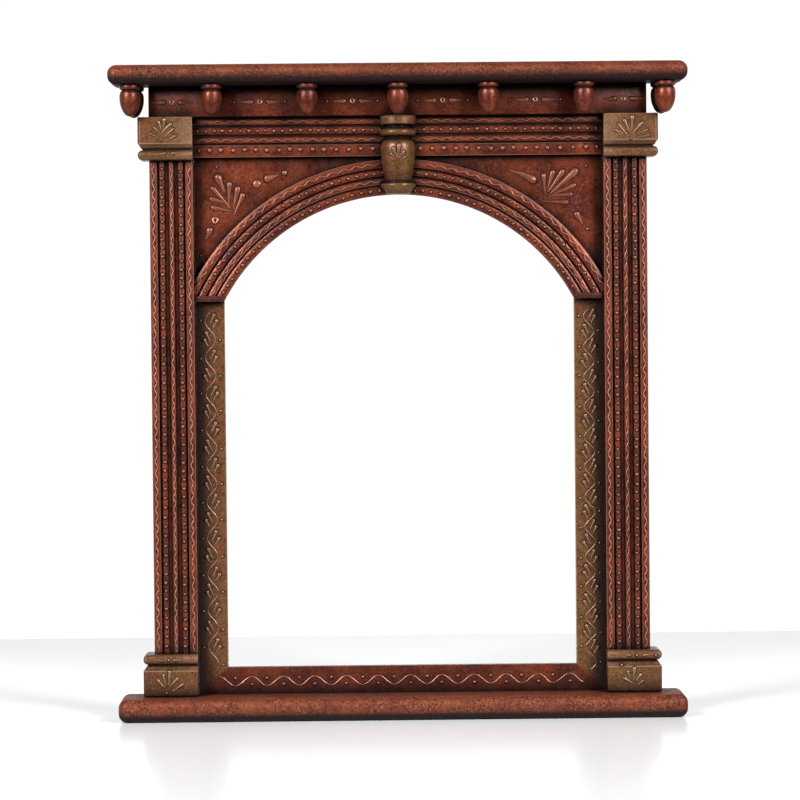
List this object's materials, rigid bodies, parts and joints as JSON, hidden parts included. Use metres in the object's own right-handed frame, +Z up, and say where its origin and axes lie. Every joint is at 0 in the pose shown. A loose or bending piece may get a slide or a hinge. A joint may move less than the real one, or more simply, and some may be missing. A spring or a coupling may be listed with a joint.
{
  "type": "arched wooden table frame",
  "caption": "Free-standing arched frame in painted wood, with reeded pilasters and arch, a moulded base and cornice, turned drops, a turned keystone and raised paste ornament.",
  "frame": {"origin": "middle of the base's underside, halfway between the front and the back", "axes": "+Z up, the front with its ornament faces -Y, +X to the right as seen from the front"},
  "size_m": [0.4646, 0.046, 0.5276],
  "materials": {
    "copper_paint": "painted mahogany brown, rubbed with copper, satin lacquer",
    "brass_paint": "painted antique brass over brown, satin lacquer"
  },
  "bodies": {
    "root": {"base_board": "copper_paint", "cornice_board": "copper_paint", "frieze_board": "copper_paint", "architrave": "copper_paint", "spandrel_panel": "copper_paint", "arch_moulding": "copper_paint", "bottom_rail": "copper_paint", "pilaster_left": "copper_paint", "pilaster_right": "copper_paint", "drop_1": "copper_paint", "drop_2": "copper_paint", "drop_3": "copper_paint", "drop_4": "copper_paint", "drop_5": "copper_paint", "drop_6": "copper_paint", "drop_7": "copper_paint", "rear_drop_left": "copper_paint", "rear_drop_right": "copper_paint", "pedestal_left": "brass_paint", "pedestal_right": "brass_paint", "capital_left": "brass_paint", "capital_right": "brass_paint", "stile_left": "brass_paint", "stile_right": "brass_paint", "keystone": "brass_paint"}
  },
  "joints": []
}
